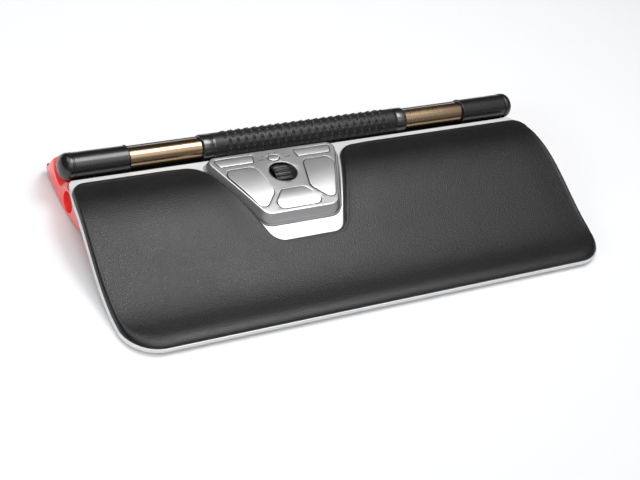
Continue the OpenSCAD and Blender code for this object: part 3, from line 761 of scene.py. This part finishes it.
floor_mesh = bpy.data.meshes.new("floor")
floor_corners = [(x * FLOOR_HALF, y * FLOOR_HALF, 0) for x, y in ((-1, -1), (1, -1), (1, 1), (-1, 1))]
floor_mesh.from_pydata(floor_corners, [], [(0, 1, 2, 3)])
floor = bpy.data.objects.new("floor", floor_mesh)
floor_look = moulded("floor_paint", (0.80, 0.805, 0.815), 0.62, grain=60.0, depth=0.0, tint=0.0)
floor_mesh.materials.append(floor_look)
bpy.context.scene.collection.objects.link(floor)

world = bpy.data.worlds.new("studio")
bpy.context.scene.world = world
world.use_nodes = True
tree = world.node_tree


def sky_maths(operation, a, b, clamp=False):
    node = tree.nodes.new("ShaderNodeMath")
    node.operation, node.use_clamp = operation, clamp
    for socket, value in zip(node.inputs, (a, b)):
        if isinstance(value, bpy.types.NodeSocket):
            tree.links.new(value, socket)
        else:
            socket.default_value = value
    return node.outputs[0]


def ramp(socket, edge, slope, rising):
    """0 at the edge, then up to 1 at the given slope, towards larger or smaller values."""
    pair = (socket, edge) if rising else (edge, socket)
    return sky_maths("MULTIPLY", sky_maths("SUBTRACT", *pair), slope, clamp=True)


# A softbox overhead with soft ends, a weaker glow from the front, and a dim band all round
direction = tree.nodes.new("ShaderNodeTexCoord").outputs["Generated"]
split = tree.nodes.new("ShaderNodeSeparateXYZ")
tree.links.new(direction, split.inputs[0])
sky_x, sky_y, sky_z = split.outputs
softbox = sky_maths("MULTIPLY", ramp(sky_y, SOFTBOX_BACK, 2.0, False), ramp(sky_y, SOFTBOX_FRONT, 2.6, True))
softbox = sky_maths("MULTIPLY", softbox, ramp(sky_z, SOFTBOX_LOW, 5.0, True))
softbox = sky_maths("MULTIPLY", softbox, ramp(sky_x, SOFTBOX_LEFT, 2.2, True))
softbox = sky_maths("MULTIPLY", softbox, ramp(sky_x, SOFTBOX_RIGHT, 4.5, False))
level = sky_maths("ADD", sky_maths("MULTIPLY", softbox, SOFTBOX_LEVEL), BAND_LEVEL)
front = ramp(sky_y, FRONT_EDGE, 2.0, False)
level = sky_maths("ADD", level, sky_maths("MULTIPLY", front, FRONT_LEVEL))
tree.links.new(level, tree.nodes["Background"].inputs["Strength"])
tree.nodes["Background"].inputs["Color"].default_value = (0.985, 0.99, 1.0, 1)


def area_light(name, location, target, size, energy):
    data = bpy.data.lights.new(name, "AREA")
    data.shape, data.size, data.size_y = "RECTANGLE", size[0], size[1]
    data.energy = energy
    obj = bpy.data.objects.new(name, data)
    obj.location = location
    obj.rotation_mode = "QUATERNION"
    obj.rotation_quaternion = (Vector(target) - Vector(location)).to_track_quat("-Z", "Y")
    bpy.context.scene.collection.objects.link(obj)
    return obj


area_light("key_light", (-0.5, 0.55, 1.5), (0, 0, 0), (1.2, 0.8), 5)
fill = area_light("left_fill", (-1.3, -0.25, 0.6), (-0.2, 0.05, 0.01), (0.9, 0.5), 7.0)
fill.visible_glossy = False
area_light("front_panel", (0.30, 0.06, 1.05), (-0.1, 0.0, 0), (0.56, 0.46), 6.0)

CAMERA_AT, CAMERA_TO, CAMERA_ROLL = (-0.65440, -0.75758, 0.86551), (-0.03831, -0.03807, 0.02), 19.388
camera_data = bpy.data.cameras.new("camera")
camera_data.lens, camera_data.sensor_width = 84.25, 36.0
camera = bpy.data.objects.new("camera", camera_data)
bpy.context.scene.collection.objects.link(camera)
look = (Vector(CAMERA_TO) - Vector(CAMERA_AT)).to_track_quat("-Z", "Y").to_matrix().to_4x4()
roll = Matrix.Rotation(math.radians(CAMERA_ROLL), 4, "Z")
camera.matrix_world = Matrix.Translation(CAMERA_AT) @ look @ roll
bpy.context.scene.camera = camera
